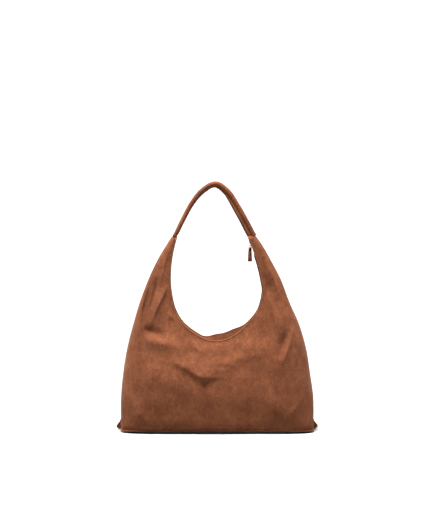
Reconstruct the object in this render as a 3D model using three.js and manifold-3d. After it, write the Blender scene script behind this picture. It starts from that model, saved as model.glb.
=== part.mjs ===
// A slouchy suede hobo bag: two soft panels on a boxed base, a deep U-shaped mouth with a
// zip along both lips, and a folded shoulder strap sewn to the two horns of the body.
// Millimetres, +Z up, +X to the wearer's right seen from the front, the front faces -Y.
// The origin is on the floor, in the middle of the base.
import * as THREE from "three";
import { mergeVertices } from "three/addons/utils/BufferGeometryUtils.js";
import Module from "manifold-3d";

const wasm = await Module();
wasm.setup();

// ---------------------------------------------------------------- driving dimensions
const SUEDE = 1.6; // thickness of the outer hide
const LINING = 0.6; // thickness of the cotton lining
const LAYER_GAP = 0.35; // air between one sewn layer and the next
const SEAM_HALF = 1.2; // the panels stop this far from the middle plane, at the side seams
const FLOOR_PLATE = 1.8; // thickness of the bottom panel
const BOARD = 2.2; // thickness of the stiffener inside the base
const PIPING = 1.8; // height of the welt between the bottom panel and the walls
const WALL_BOTTOM = FLOOR_PLATE + PIPING + 2 * LAYER_GAP; // lower edge of both big panels
const HORN_TOP = 439; // where the horns end, under the strap's hinge line
const STRAP_PIVOT_Z = 447.5; // the hinge line of the strap, through both sewn ends

// Outer silhouette of the body, seen from the front: [z, x] down each side.
const LEFT_SIDE = [
  [0, -216.5], [70, -217.5], [130, -212], [185, -203], [240, -189],
  [290, -174], [340, -155], [385, -134], [420, -113], [445, -97],
];
const RIGHT_SIDE = [
  [0, 216.5], [70, 217], [130, 209], [185, 200], [240, 184],
  [290, 162], [340, 143], [385, 121], [420, 102.5], [445, 88],
];
// Half of the body's depth at its fullest, and how boxy its plan section is: [z, value].
const HALF_DEPTH = [[0, 57], [35, 63], [85, 66], [130, 63], [205, 51], [300, 33], [380, 19], [445, 8]];
const BOXINESS = [[0, 6], [60, 4], [120, 3], [200, 2.5], [445, 2.3]];

// The zip slider runs on a true arc down the right lip; its centre is the slider's hinge.
const ZIP_ARC = { x: -294, z: 268, radius: 400, top: 25.4, bottom: 7.5 };
// The rest of the lip, from the foot of that arc round the bottom to the left horn: [x, z].
const LIP = [
  [98, 290], [86.5, 265], [66, 241], [36, 216], [4, 205], [-26, 208.5], [-53, 223], [-78, 244.5],
  [-94, 272], [-102, 303], [-105.5, 337], [-104.5, 367], [-101, 395], [-96, 418], [-90.2, HORN_TOP],
];
const LIP_HALF_GAP = 2.3; // half the space between the two coils where the slider runs
const LIP_HALF_GAPE = 12; // half the space at the lowest point of the open mouth
const RIM_EXTRA = 9; // from the coil's edge to the outside of the lip: coil, tape and hide
const RIM_TIP = 3.2; // half the depth of a horn where it meets the strap
const RIM_TAPER = 8; // length over which a horn narrows to its tip
const RIM_GROWTH = 33; // how fast the panels fill out below the lip

const ZIP_RECESS = 3.4; // the coils lie this far below the lip
const COIL = { width: 2.4, height: 2.2 };
const TAPE_THICKNESS = 0.7;
const ZIP_STEPS = 52; // straight lengths in each coil and tape
const ZIP_END = 7; // the coils stop this far before the horn tips
const TAPE_END = 14; // and the tapes this far
const SLIDER_START = 16.5; // where the slider's middle rests, along the lip from the right horn

// The strap's middle line from the left horn over the top to the right horn: [x, z].
const STRAP_LINE = [
  [-90.7, STRAP_PIVOT_Z], [-78.3, 473.6], [-56, 514], [-32, 542], [-5, 555.5],
  [19, 540], [42, 506], [62, 470], [73.2, STRAP_PIVOT_Z],
];
// The strap's half width seen from the front and half depth, along its length: [share, value].
// It lies edge-on at the left horn and turns to show its broad face at the right one.
const STRAP_HALF_WIDTH = [[0, 4.5], [0.1, 5.8], [0.3, 6], [0.5, 6.5], [0.75, 9.6], [0.92, 9.8], [1, 9.6]];
const STRAP_HALF_DEPTH = [[0, 5.8], [0.1, 8.4], [0.3, 9.4], [0.5, 9], [0.75, 6], [0.92, 5.2], [1, 4.5]];
const STRAP_WALL = 1.6; // thickness of the strap's suede
const STRAP_END_SHARE = 0.035; // the share of the strap at each end that is one sewn-down lump

const BOTTOM_POINTS = 60; // corners of the base outline
const PANEL_U = 44; // grid lines along the lip
const SIDE_LINES = 17; // of those, the ones that end on each side seam
const PANEL_V = 10; // grid lines from the lip to the seams
const LIP_EASE = 0.5; // how much closer the grid lines stand at the horns than at the bottom

// ---------------------------------------------------------------- materials
const suede = new THREE.MeshStandardMaterial({ color: 0x8f5138, roughness: 0.95, metalness: 0 });
const suedeEdge = new THREE.MeshStandardMaterial({ color: 0x6f3b26, roughness: 0.9, metalness: 0 });
const cotton = new THREE.MeshStandardMaterial({ color: 0xa98a6c, roughness: 1, metalness: 0 });
const tapeCloth = new THREE.MeshStandardMaterial({ color: 0x5a3526, roughness: 0.9, metalness: 0 });
const coilMetal = new THREE.MeshStandardMaterial({ color: 0xc08a63, roughness: 0.35, metalness: 0.9 });
const board = new THREE.MeshStandardMaterial({ color: 0x3b332c, roughness: 0.8, metalness: 0 });
const foam = new THREE.MeshStandardMaterial({ color: 0xe6dfd2, roughness: 1, metalness: 0 });
const roseGold = new THREE.MeshStandardMaterial({ color: 0xd9a184, roughness: 0.25, metalness: 1 });

// ---------------------------------------------------------------- small helpers
const bag = new THREE.Group();

function add(name, geometry, material, parent = bag) {
  const mesh = new THREE.Mesh(geometry, material);
  mesh.name = name;
  parent.add(mesh);
  return mesh;
}

function toSolid(geometry) {
  const bare = geometry.index ? geometry.toNonIndexed() : geometry.clone();
  bare.deleteAttribute("normal");
  bare.deleteAttribute("uv");
  const merged = mergeVertices(bare, 1e-4);
  return new wasm.Manifold(new wasm.Mesh({
    numProp: 3,
    vertProperties: new Float32Array(merged.attributes.position.array),
    triVerts: new Uint32Array(merged.index.array),
  }));
}

// Two closed geometries joined into one solid.
function joined(first, second) {
  const mesh = toSolid(first).add(toSolid(second)).getMesh();
  const geometry = new THREE.BufferGeometry();
  geometry.setAttribute("position", new THREE.Float32BufferAttribute(mesh.vertProperties, 3));
  geometry.setIndex(Array.from(mesh.triVerts));
  geometry.computeVertexNormals();
  return geometry;
}

const clamp = (value, low, high) => Math.min(high, Math.max(low, value));
const mix = (a, b, t) => a + (b - a) * t;
const smooth = (t) => {
  const c = clamp(t, 0, 1);
  return c * c * (3 - 2 * c);
};

// A smooth curve through [x, y] pairs, as a function of x: monotone cubic interpolation.
function curveOf(table) {
  const slopes = table.map((point, i) => {
    const before = table[Math.max(0, i - 1)];
    const after = table[Math.min(table.length - 1, i + 1)];
    return (after[1] - before[1]) / (after[0] - before[0]);
  });
  return (x) => {
    const at = clamp(x, table[0][0], table[table.length - 1][0]);
    const i = clamp(table.findIndex((point) => point[0] > at) - 1, 0, table.length - 2);
    const k = table[table.length - 1][0] <= at ? table.length - 2 : i;
    const span = table[k + 1][0] - table[k][0];
    const t = (at - table[k][0]) / span;
    const cubic = (2 * t - 3) * t * t + 1;
    return cubic * table[k][1] + (1 - cubic) * table[k + 1][1]
      + span * (t * (t - 1) * (t - 1) * slopes[k] + t * t * (t - 1) * slopes[k + 1]);
  };
}

const leftAt = curveOf(LEFT_SIDE);
const rightAt = curveOf(RIGHT_SIDE);
const depthAt = curveOf(HALF_DEPTH);
const boxinessAt = curveOf(BOXINESS);

// ---------------------------------------------------------------- the lip of the mouth
function zipArcPoint(degrees, offset = 0) {
  const angle = THREE.MathUtils.degToRad(degrees);
  const radius = ZIP_ARC.radius + offset;
  return new THREE.Vector3(
    ZIP_ARC.x + radius * Math.cos(angle), 0, ZIP_ARC.z + radius * Math.sin(angle),
  );
}

// From the right horn, down the zip arc, round the bottom and up to the left horn.
const ARC_KNOTS = 7;
const lipKnots = Array.from({ length: ARC_KNOTS }, (unused, i) => (
  zipArcPoint(mix(ZIP_ARC.top, ZIP_ARC.bottom, i / (ARC_KNOTS - 1)))
)).concat(LIP.map(([x, z]) => new THREE.Vector3(x, 0, z)));
const lip = new THREE.CatmullRomCurve3(lipKnots, false, "centripetal");
lip.arcLengthDivisions = 600;
const lipLength = lip.getLength();

// The point at distance s along the lip, moved by `recess` away from the mouth's middle.
function lipPoint(s, recess = 0) {
  const t = clamp(s / lipLength, 0, 1);
  const point = lip.getPointAt(t);
  const tangent = lip.getTangentAt(t);
  return point.add(new THREE.Vector3(-tangent.z, 0, tangent.x).multiplyScalar(recess));
}

// Half the space between the coils: constant where the slider runs, wider at the bottom.
function halfGap(s) {
  const arcLength = ZIP_ARC.radius * THREE.MathUtils.degToRad(ZIP_ARC.top - ZIP_ARC.bottom);
  const rise = smooth((s - arcLength) / 130);
  const fall = smooth((lipLength - 60 - s) / 150);
  return mix(LIP_HALF_GAP, LIP_HALF_GAPE, rise * fall);
}

// Half the depth of the bag at the lip, narrowing into the two horn tips.
function rimHalf(s) {
  const toTip = Math.min(s, lipLength - s);
  return mix(RIM_TIP, halfGap(s) + RIM_EXTRA, smooth(toTip / RIM_TAPER));
}

// ---------------------------------------------------------------- the skin of the bag
// Each sewn layer lies `inset` inside the outer surface. u runs along the lip from the right
// horn to the left one, v runs from the lip out to the side seams and the bottom edge.
const SIDE_SHARE = SIDE_LINES / PANEL_U;

function outlinePoint(u, inset) {
  if (u < SIDE_SHARE) return seamPoint(rightAt, -1, u / SIDE_SHARE, inset);
  if (u > 1 - SIDE_SHARE) return seamPoint(leftAt, 1, (1 - u) / SIDE_SHARE, inset);
  const turn = Math.PI * (u - SIDE_SHARE) / (1 - 2 * SIDE_SHARE);
  const [left, right] = [leftAt(WALL_BOTTOM), rightAt(WALL_BOTTOM)];
  const across = Math.sign(Math.cos(turn)) * Math.abs(Math.cos(turn)) ** (2 / boxinessAt(WALL_BOTTOM));
  return { x: (left + right) / 2 + ((right - left) / 2 - inset) * across, z: WALL_BOTTOM };
}

function seamPoint(side, inward, t, inset) {
  const z = mix(HORN_TOP, WALL_BOTTOM, t ** 1.25);
  return { x: side(z) + inward * inset, z };
}

function skinPoint(front, u, v, inset) {
  const s = lipLength * (u - (LIP_EASE * Math.sin(2 * Math.PI * u)) / (2 * Math.PI));
  const start = lipPoint(s);
  const end = outlinePoint(u, inset);
  const sideways = smooth(Math.abs(u - 0.5) / (0.5 - SIDE_SHARE));
  const t = mix(v, 1 - (1 - v) ** 2, sideways);
  const x = mix(start.x, end.x, t);
  const z = mix(start.z, end.z, t);
  const reach = Math.hypot(x - start.x, z - start.z);
  const growth = 1 - Math.exp(-((reach / RIM_GROWTH) ** 1.3));
  const half = (rightAt(z) - leftAt(z)) / 2 - inset;
  const across = clamp(Math.abs(x - (rightAt(z) + leftAt(z)) / 2) / half, 0, 1);
  const n = boxinessAt(z);
  const full = (depthAt(z) - inset) * (1 - across ** n) ** (1 / n);
  const rim = (rimHalf(s) - inset) * (1 - t ** 4);
  const depth = Math.max(mix(rim, full, growth), SEAM_HALF);
  return new THREE.Vector3(x, front ? -depth : depth, z);
}

// Six times the volume inside a closed set of triangles, negative if they face inwards.
function signedVolume(positions, index) {
  const [a, b, c] = [new THREE.Vector3(), new THREE.Vector3(), new THREE.Vector3()];
  let sum = 0;
  for (let i = 0; i < index.length; i += 3) {
    [a, b, c].forEach((corner, k) => corner.fromArray(positions, 3 * index[i + k]));
    sum += a.dot(b.cross(c));
  }
  return sum;
}

// A closed solid between two grids of points that share their u and v steps.
function slab(outer, inner, rows, columns) {
  const positions = [];
  const index = [];
  const at = (layer, i, j) => layer * (rows + 1) * (columns + 1) + i * (columns + 1) + j;
  for (const grid of [outer, inner])
    for (let i = 0; i <= rows; i++)
      for (let j = 0; j <= columns; j++) positions.push(...grid(i / rows, j / columns).toArray());
  const quad = (a, b, c, d) => index.push(a, b, c, a, c, d);
  for (let i = 0; i < rows; i++)
    for (let j = 0; j < columns; j++) {
      quad(at(0, i, j), at(0, i, j + 1), at(0, i + 1, j + 1), at(0, i + 1, j));
      quad(at(1, i, j), at(1, i + 1, j), at(1, i + 1, j + 1), at(1, i, j + 1));
    }
  for (let i = 0; i < rows; i++) {
    quad(at(0, i, 0), at(0, i + 1, 0), at(1, i + 1, 0), at(1, i, 0));
    quad(at(0, i + 1, columns), at(0, i, columns), at(1, i, columns), at(1, i + 1, columns));
  }
  for (let j = 0; j < columns; j++) {
    quad(at(0, 0, j + 1), at(0, 0, j), at(1, 0, j), at(1, 0, j + 1));
    quad(at(0, rows, j), at(0, rows, j + 1), at(1, rows, j + 1), at(1, rows, j));
  }
  if (signedVolume(positions, index) < 0) index.reverse();
  const geometry = new THREE.BufferGeometry();
  geometry.setAttribute("position", new THREE.Float32BufferAttribute(positions, 3));
  geometry.setIndex(index);
  geometry.computeVertexNormals();
  return geometry;
}

// One layer of the bag's wall, from inset to inset + thickness. Every layer uses the same
// lines of the panel's grid, counted from u0 to u1 and from v0 to v1, so that they nest.
function layer(front, inset, thickness, [u0, u1], [v0, v1]) {
  const grid = (depth) => (u, v) => {
    const at = (line) => skinPoint(front, mix(u0, u1, u) / PANEL_U, line / PANEL_V, depth);
    const line = mix(v0, v1, v);
    return v === 0 && v0 > 0 ? at(line).lerp(at(line + 1), CUT_GAP) : at(line);
  };
  return slab(grid(inset), grid(inset + thickness), u1 - u0, v1 - v0);
}

const FACING_INSET = SUEDE + LAYER_GAP;
const LINING_INSET = FACING_INSET + 0.5;
const FACING_LINES = 2; // the suede facing covers this many grid lines below the lip
const CUT_GAP = 0.12; // the space between facing and lining, in grid lines
const POCKET = { inset: LINING_INSET + LINING + 0.6, thickness: 1, u: [21, 23], v: [4, 8] };

function addWalls() {
  const inside = [2, PANEL_U - 2];
  for (const [word, front] of [["front", true], ["back", false]]) {
    add(`${word}_panel`, layer(front, 0, SUEDE, [0, PANEL_U], [0, PANEL_V]), suede);
    add(`${word}_lip_facing`, layer(front, FACING_INSET, LINING, inside, [0, FACING_LINES]), suedeEdge);
    add(`${word}_lining`, layer(front, LINING_INSET, LINING, inside, [FACING_LINES, PANEL_V]), cotton);
  }
  add("inner_slip_pocket", layer(false, POCKET.inset, POCKET.thickness, POCKET.u, POCKET.v), cotton);
}

// ---------------------------------------------------------------- the base
function baseOutline(inset) {
  const middle = (leftAt(0) + rightAt(0)) / 2;
  const half = (rightAt(0) - leftAt(0)) / 2 - inset;
  const deep = depthAt(0) - inset;
  const power = 2 / boxinessAt(0);
  const shape = [];
  for (let i = 0; i < BOTTOM_POINTS; i++) {
    const turn = (2 * Math.PI * i) / BOTTOM_POINTS;
    shape.push(new THREE.Vector2(
      middle + half * Math.sign(Math.cos(turn)) * Math.abs(Math.cos(turn)) ** power,
      deep * Math.sign(Math.sin(turn)) * Math.abs(Math.sin(turn)) ** power,
    ));
  }
  return shape;
}

function plate(inset, bottom, thickness, hole = null) {
  const shape = new THREE.Shape(baseOutline(inset));
  if (hole !== null) shape.holes.push(new THREE.Path(baseOutline(hole).reverse()));
  const geometry = new THREE.ExtrudeGeometry(shape, { depth: thickness, bevelEnabled: false });
  return geometry.translate(0, 0, bottom);
}

function addBase() {
  add("bottom_panel", plate(0.4, 0, FLOOR_PLATE), suede);
  add("bottom_piping", plate(-1.2, FLOOR_PLATE + LAYER_GAP, PIPING, SUEDE), suedeEdge);
  add("base_board", plate(6, FLOOR_PLATE + LAYER_GAP, BOARD), board);
  add("bottom_lining", plate(7, FLOOR_PLATE + 2 * LAYER_GAP + BOARD, LINING), cotton);
}

// A turned-out corner of the base, where the boxed bottom's fold sticks out at the side.
function addEar(name, side, outline) {
  const shape = new THREE.Shape(outline.map(([out, z]) => new THREE.Vector2(side * (217.6 + out), z)));
  const geometry = new THREE.ExtrudeGeometry(shape, { depth: 5, bevelEnabled: false, steps: 1 });
  add(name, geometry.rotateX(Math.PI / 2).translate(0, 4, 0), suede);
}

// The seam allowance that closes each side, a narrow welt between the two panels.
function addSideSeam(name, side, inward) {
  const top = HORN_TOP - 3;
  const bottom = 30;
  const grid = (y) => (t, w) => {
    const z = mix(bottom, top, t);
    return new THREE.Vector3(side(z) + inward * mix(-1.1, 2.6, w), y, z);
  };
  const half = SEAM_HALF - 0.35;
  add(name, slab(grid(-half), grid(half), 26, 1), suedeEdge);
}

// ---------------------------------------------------------------- the zip
// A bar of rectangular section that follows the lip between y0(s) and y1(s).
function lipBar(from, to, recess, thickness, y0, y1, steps) {
  const grid = (side) => (t, w) => {
    const s = mix(from, to, t);
    const point = lipPoint(s, recess + side * thickness);
    point.y = mix(y0(s), y1(s), w);
    return point;
  };
  return slab(grid(0), grid(1), steps, 1);
}

function addZip() {
  for (const [word, sign] of [["front", -1], ["back", 1]]) {
    const inner = (s) => sign * halfGap(s);
    const outer = (s) => sign * (halfGap(s) + COIL.width);
    const tapeInner = (s) => sign * (halfGap(s) + COIL.width + 0.3);
    const tapeOuter = (s) => sign * (halfGap(s) + RIM_EXTRA - SUEDE - LINING - 5 * LAYER_GAP);
    add(
      `${word}_zip_coil`,
      lipBar(ZIP_END, lipLength - ZIP_END, ZIP_RECESS, COIL.height, inner, outer, ZIP_STEPS), coilMetal,
    );
    add(
      `${word}_zip_tape`,
      lipBar(
        TAPE_END, lipLength - TAPE_END, ZIP_RECESS + (COIL.height - TAPE_THICKNESS) / 2,
        TAPE_THICKNESS, tapeInner, tapeOuter, ZIP_STEPS,
      ),
      tapeCloth,
    );
  }
}

// A small metal stop across both coils, at `from` to `to` along the lip.
function addStop(name, from, to) {
  const grid = (y) => (t, w) => lipPoint(mix(from, to, t), ZIP_RECESS - 0.2 + w * 2.6).setY(y);
  add(name, slab(grid(-2.4), grid(2.4), 1, 1), roseGold);
}

// ---------------------------------------------------------------- the strap
const strapLine = new THREE.CatmullRomCurve3(
  STRAP_LINE.map(([x, z]) => new THREE.Vector3(x, 0, z)), false, "centripetal",
);
const strapHalfWidth = curveOf(STRAP_HALF_WIDTH);
const strapHalfDepth = curveOf(STRAP_HALF_DEPTH);
const SECTION_SIDES = 14; // corners of the strap's section

// A ring of points round the strap's middle line at share t, `inset` inside its surface.
function strapRing(t, inset) {
  const middle = strapLine.getPointAt(t);
  const tangent = strapLine.getTangentAt(t);
  const outward = new THREE.Vector3(-tangent.z, 0, tangent.x);
  const [wide, deep] = [strapHalfWidth(t) - inset, strapHalfDepth(t) - inset];
  return ringOf(middle, outward.multiplyScalar(wide), deep);
}

// The rounded end of the strap under its hinge line: a ring at `drop` below it.
function endRing(t, drop) {
  const middle = strapLine.getPointAt(t);
  const slope = strapLine.getTangentAt(t);
  middle.x -= (slope.x / slope.z) * drop;
  middle.z -= drop;
  const radius = strapHalfDepth(t);
  const across = new THREE.Vector3(strapHalfWidth(t), 0, 0).multiplyScalar(t < 0.5 ? -1 : 1);
  return ringOf(middle, across, Math.sqrt(radius ** 2 - drop ** 2));
}

function ringOf(middle, across, deep) {
  return Array.from({ length: SECTION_SIDES }, (unused, k) => {
    const turn = (2 * Math.PI * k) / SECTION_SIDES;
    const soften = (value) => Math.sign(value) * Math.abs(value) ** 0.8;
    return middle.clone()
      .addScaledVector(across, soften(Math.cos(turn)))
      .add(new THREE.Vector3(0, deep * soften(Math.sin(turn)), 0));
  });
}

// A closed solid through a list of rings; with `bore` rings it is a pipe, without them a bar.
function loft(rings, bore = null) {
  const sides = rings[0].length;
  const points = rings.concat(bore ?? []).flat();
  const index = [];
  const quad = (a, b, c, d) => index.push(a, b, c, a, c, d);
  const skin = (first, count, inward) => {
    for (let i = 0; i + 1 < count; i++)
      for (let k = 0; k < sides; k++) {
        const [a, b] = [first + i * sides + k, first + i * sides + ((k + 1) % sides)];
        if (inward) quad(a, b, b + sides, a + sides);
        else quad(a, a + sides, b + sides, b);
      }
  };
  skin(0, rings.length, false);
  const last = (rings.length - 1) * sides;
  if (bore) {
    const hole = rings.length * sides;
    skin(hole, bore.length, true);
    for (let k = 0; k < sides; k++) {
      const next = (k + 1) % sides;
      quad(k, next, hole + next, hole + k);
      quad(last + next, last + k, hole + last + k, hole + last + next);
    }
  } else {
    for (let k = 1; k + 1 < sides; k++) {
      index.push(0, k, k + 1);
      index.push(last, last + k + 1, last + k);
    }
  }
  const positions = points.flatMap((point) => point.toArray());
  if (signedVolume(positions, index) < 0) index.reverse();
  const geometry = new THREE.BufferGeometry();
  geometry.setAttribute("position", new THREE.Float32BufferAttribute(positions, 3));
  geometry.setIndex(index);
  geometry.computeVertexNormals();
  return geometry;
}

const span = (from, to, count) => Array.from({ length: count + 1 }, (unused, i) => mix(from, to, i / count));

function addStrap() {
  const strap = new THREE.Group();
  bag.add(strap);
  const shares = span(STRAP_END_SHARE, 1 - STRAP_END_SHARE, 26);
  const rings = (list, inset) => list.map((t) => strapRing(t, inset));
  add("strap_skin", loft(rings(shares, 0), rings(shares, STRAP_WALL)), suede, strap);
  add("strap_core", loft(rings(shares, STRAP_WALL + LAYER_GAP)), foam, strap);
  const near = STRAP_END_SHARE - 0.002;
  const drops = [0.97, 0.85, 0.6, 0.3, 0];
  for (const [name, end, inner] of [["left_strap_end", 0, near], ["right_strap_end", 1, 1 - near]]) {
    const radius = strapHalfDepth(end);
    const rounded = drops.map((share) => endRing(end, share * radius));
    add(name, loft([...rounded, strapRing(inner, 0)]), suede, strap);
  }
}

// ---------------------------------------------------------------- the zip slider and its pull
const SLIDER = { length: 12, half: 5.7, plate: 1, channel: 1.4, flange: 0.65, post: 1.4, lipIn: 5 };
const BAIL = { length: 9, height: 5, wall: 1.5, width: 1.8, lift: 0.3, along: -1.5 };
const RING = { radius: 3.6, wire: 0.75, stretch: 1.6, pivotAlong: -3.2, pivotUp: 3.9 };
const FERRULE = { width: 6.4, thickness: 4.4, height: 4, eye: 3.2, hole: 1.9, eyeThickness: 1.4, drop: 0.2 };
const TAB = { top: 6.4, bottom: 9.2, length: 26.5, thickness: 3.4 };
const TAB_TWIST = THREE.MathUtils.degToRad(64); // the tab hangs turned, nearly edge-on

function sliderBody() {
  const { half, plate: thick, channel, flange, post, lipIn } = SLIDER;
  const top = channel + thick;
  const quarter = [[half, top], [half, flange], [lipIn, flange], [lipIn, channel], [post, channel]];
  const mirror = (points, sx, sz) => points.map(([y, z]) => [sx * y, sz * z]);
  const outline = [
    ...quarter, ...mirror(quarter, 1, -1).reverse(),
    ...mirror(quarter, -1, -1), ...mirror(quarter, -1, 1).reverse(),
  ];
  const shape = new THREE.Shape(outline.map(([y, z]) => new THREE.Vector2(y, z)));
  const geometry = new THREE.ExtrudeGeometry(shape, { depth: SLIDER.length, bevelEnabled: false });
  return geometry.translate(0, 0, -SLIDER.length / 2);
}

// An arch over the slider's face; its legs stand on the top plate.
function bailArch() {
  const foot = SLIDER.channel + SLIDER.plate + BAIL.lift;
  const shape = new THREE.Shape();
  shape.moveTo(BAIL.length / 2, foot);
  shape.absellipse(0, foot, BAIL.length / 2, BAIL.height, 0, Math.PI, false);
  shape.lineTo(-BAIL.length / 2 + BAIL.wall, foot);
  shape.absellipse(0, foot, BAIL.length / 2 - BAIL.wall, BAIL.height - BAIL.wall, Math.PI, 0, true);
  const options = { depth: BAIL.width, bevelEnabled: false, curveSegments: 10 };
  return new THREE.ExtrudeGeometry(shape, options).translate(0, 0, -BAIL.width / 2);
}

// The ferrule's eye and its cap, as one outline with a hole, seen along the eye's axis.
function ferruleGeometry() {
  const { width, height, eye, hole, eyeThickness, thickness } = FERRULE;
  const plateShape = new THREE.Shape();
  plateShape.absarc(0, 0, eye, -0.2 * Math.PI, 1.2 * Math.PI, false);
  plateShape.lineTo(-eye * 0.8, -eye - 0.6);
  plateShape.lineTo(eye * 0.8, -eye - 0.6);
  plateShape.holes.push(new THREE.Path().absarc(0, 0, hole, 0, 2 * Math.PI, true));
  const eyePlate = new THREE.ExtrudeGeometry(plateShape, {
    depth: eyeThickness, bevelEnabled: false, curveSegments: 10,
  }).translate(0, 0, -eyeThickness / 2).rotateX(Math.PI / 2);
  const cap = new THREE.BoxGeometry(thickness, width, height).translate(0, 0, -eye - height / 2);
  return joined(eyePlate, cap);
}

function tabGeometry() {
  const { top, bottom, length, thickness } = TAB;
  const shape = new THREE.Shape();
  shape.moveTo(-top / 2, 0);
  shape.lineTo(-bottom / 2, -length + 1.5);
  shape.quadraticCurveTo(-bottom / 2, -length, -bottom / 2 + 1.5, -length);
  shape.lineTo(bottom / 2 - 1.5, -length);
  shape.quadraticCurveTo(bottom / 2, -length, bottom / 2, -length + 1.5);
  shape.lineTo(top / 2, 0);
  const options = { depth: thickness, bevelEnabled: false, curveSegments: 4 };
  const geometry = new THREE.ExtrudeGeometry(shape, options).translate(0, 0, -thickness / 2);
  return geometry.rotateX(Math.PI / 2).rotateZ(Math.PI / 2);
}

function addSlider() {
  const arc = THREE.MathUtils.radToDeg(SLIDER_START / ZIP_ARC.radius);
  const angle = ZIP_ARC.top - arc;
  const recess = ZIP_RECESS + COIL.height / 2;
  const slider = new THREE.Group();
  slider.position.copy(zipArcPoint(angle, recess));
  // Local +Z points out of the mouth and local +X down the lip, away from the right horn.
  const outward = zipArcPoint(angle, 0).sub(zipArcPoint(angle, 1));
  const along = new THREE.Vector3(-outward.z, 0, outward.x);
  slider.quaternion.setFromRotationMatrix(new THREE.Matrix4().makeBasis(
    along, new THREE.Vector3().crossVectors(outward, along), outward,
  ));
  bag.add(slider);
  const body = add("zip_slider_body", sliderBody(), roseGold, slider);
  body.quaternion.setFromRotationMatrix(new THREE.Matrix4().makeBasis(
    new THREE.Vector3(0, 1, 0), new THREE.Vector3(0, 0, 1), new THREE.Vector3(1, 0, 0),
  ));
  const bail = add("zip_slider_bail", bailArch(), roseGold, slider);
  bail.rotation.x = Math.PI / 2;
  bail.position.x = BAIL.along;

  const pivot = slider.position.clone()
    .addScaledVector(along, RING.pivotAlong)
    .addScaledVector(outward, RING.pivotUp);
  const pull = new THREE.Group();
  pull.position.copy(pivot);
  bag.add(pull);
  const ring = new THREE.TorusGeometry(RING.radius, RING.wire, 8, 24).scale(1, RING.stretch, 1);
  ring.rotateX(Math.PI / 2).rotateZ(Math.PI / 2).translate(0, 0, -RING.radius * RING.stretch);
  add("pull_ring", ring, roseGold, pull);

  const hanger = new THREE.Group();
  hanger.position.z = -2 * RING.radius * RING.stretch - FERRULE.drop;
  hanger.rotation.z = TAB_TWIST - Math.PI / 2;
  pull.add(hanger);
  add("pull_ferrule", ferruleGeometry(), roseGold, hanger);
  add("pull_tab", tabGeometry(), suede, hanger).position.z = -FERRULE.eye - FERRULE.height - 0.3;
}

addWalls();
addBase();
addEar("right_corner_ear", 1, [[0.3, 5.5], [8, 9.4], [9.9, 12.6], [0.9, 24]]);
addEar("left_corner_ear", -1, [[0.3, 5.5], [4, 5.5], [9.9, 9.6], [0.9, 27]]);
addSideSeam("right_side_seam", rightAt, -1);
addSideSeam("left_side_seam", leftAt, 1);
addZip();
addStop("right_zip_stop", ZIP_END - 3, ZIP_END - 0.4);
addStop("left_zip_stop", lipLength - ZIP_END + 0.4, lipLength - ZIP_END + 3);
addStrap();
addSlider();

export default bag;
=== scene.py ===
"""Looks for the suede hobo bag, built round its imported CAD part. Metres outside, millimetres inside."""

import math

import bmesh
import bpy
import numpy as np
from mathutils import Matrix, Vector


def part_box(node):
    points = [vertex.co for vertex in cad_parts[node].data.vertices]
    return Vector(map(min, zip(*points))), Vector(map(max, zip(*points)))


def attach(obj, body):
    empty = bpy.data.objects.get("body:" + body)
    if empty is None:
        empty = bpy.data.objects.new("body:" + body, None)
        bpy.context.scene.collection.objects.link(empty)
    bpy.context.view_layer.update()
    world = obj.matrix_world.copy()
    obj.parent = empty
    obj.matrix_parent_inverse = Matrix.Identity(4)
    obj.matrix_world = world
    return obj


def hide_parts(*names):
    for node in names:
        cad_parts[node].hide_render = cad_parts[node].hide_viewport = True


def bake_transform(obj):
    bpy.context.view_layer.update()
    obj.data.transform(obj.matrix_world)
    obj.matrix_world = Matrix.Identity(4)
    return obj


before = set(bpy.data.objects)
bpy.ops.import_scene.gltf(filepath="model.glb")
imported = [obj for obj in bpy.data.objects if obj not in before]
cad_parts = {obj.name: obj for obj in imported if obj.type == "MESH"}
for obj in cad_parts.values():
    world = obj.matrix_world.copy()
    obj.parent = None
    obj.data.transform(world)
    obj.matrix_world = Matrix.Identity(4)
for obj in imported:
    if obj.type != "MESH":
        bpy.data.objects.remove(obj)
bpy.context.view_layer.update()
MM = 0.001

# ---------------- driving dimensions, in mm
HORN_TOP = 439
WALL_BOTTOM = 4.3
LEFT_SIDE = [
    (0, -216.5), (70, -217.5), (130, -212), (185, -203), (240, -189),
    (290, -174), (340, -155), (385, -134), (420, -113), (445, -97),
]
RIGHT_SIDE = [
    (0, 216.5), (70, 217), (130, 209), (185, 200), (240, 184),
    (290, 162), (340, 143), (385, 119.5), (420, 99.5), (445, 81),
]
HALF_DEPTH = [(0, 57), (35, 63), (85, 66), (130, 64), (205, 51), (300, 33), (380, 19), (445, 8)]
BOXINESS = [(0, 6), (60, 4), (120, 3), (200, 2.5), (445, 2.3)]
ZIP_ARC = dict(x=-294, z=268, radius=400, top=25.4, bottom=7.5)
LIP = [
    (98, 290), (86.5, 265), (66, 241), (36, 216), (4, 205), (-26, 208.5), (-53, 223), (-78, 244.5),
    (-94, 272), (-102, 303), (-105.5, 337), (-104.5, 367), (-101, 395), (-96, 418), (-90.2, HORN_TOP),
]
LIP_HALF_GAP = 2.3
LIP_HALF_GAPE = 12
RIM_EXTRA = 9
RIM_TIP = 4.2
RIM_TAPER = 8
RIM_GROWTH = [(0, 60), (205, 60), (290, 33), (445, 33)]
SIDE_SHARE = 17 / 44
LIP_EASE = 0.5
SUEDE = 1.6
ZIP_RECESS = 3.4
COIL_HEIGHT = 2.2
SLIDER_START = 16.5
FACING_INSET, FACING_INNER = 2.0, 3.0  # how far inside the suede each face of the lip facing lies
LINING_INSET, LINING_INNER = 2.2, 2.8
FACING_END = 0.15                      # share of the way from the lip to the bottom that the facing covers
PANEL_ROWS, PANEL_COLUMNS = 300, 120
LIP_EDGE_RADIUS = 1.45
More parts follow.
